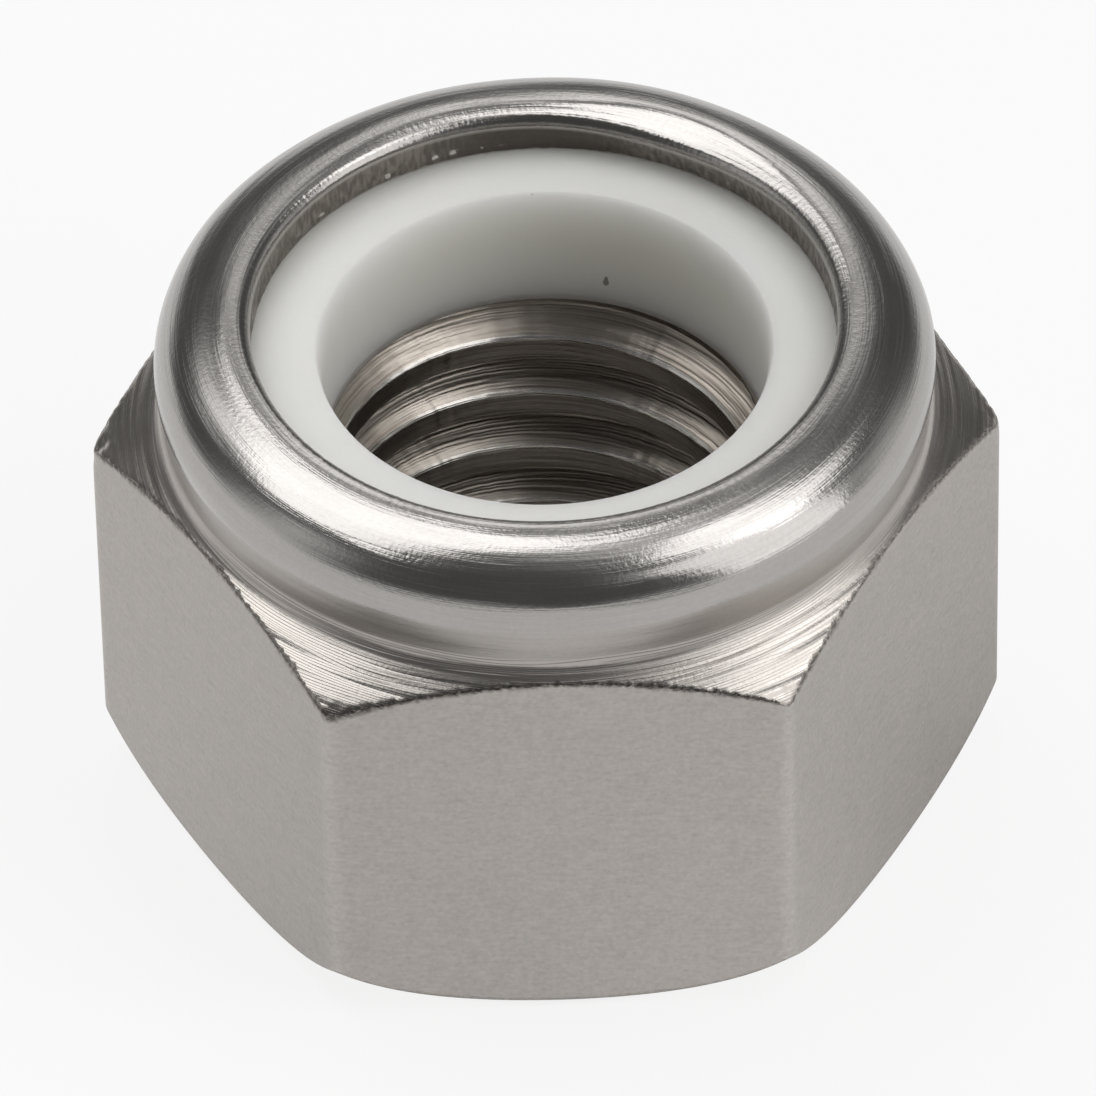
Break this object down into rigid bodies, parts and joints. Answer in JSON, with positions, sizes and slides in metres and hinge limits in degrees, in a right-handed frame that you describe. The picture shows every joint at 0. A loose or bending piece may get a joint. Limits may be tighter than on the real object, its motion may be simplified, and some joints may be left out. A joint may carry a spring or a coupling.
{
  "type": "nylon insert lock nut",
  "caption": "Hexagon lock nut with a rolled collar that grips a nylon ring above the thread.",
  "frame": {"origin": "centre of the bearing face, on the thread axis", "axes": "+Z along the thread axis, leaving the nut at its insert end; two opposite corners of the hexagon lie on X, and two flats face +Y and -Y"},
  "size_m": [0.015, 0.013, 0.0095],
  "materials": {
    "steel": "turned and satin bare stainless steel, bright on the collar's rolled lip",
    "nylon": "natural nylon, soft matt white"
  },
  "bodies": {
    "root": {"nut_body": "steel", "nylon_insert": "nylon"}
  },
  "joints": []
}
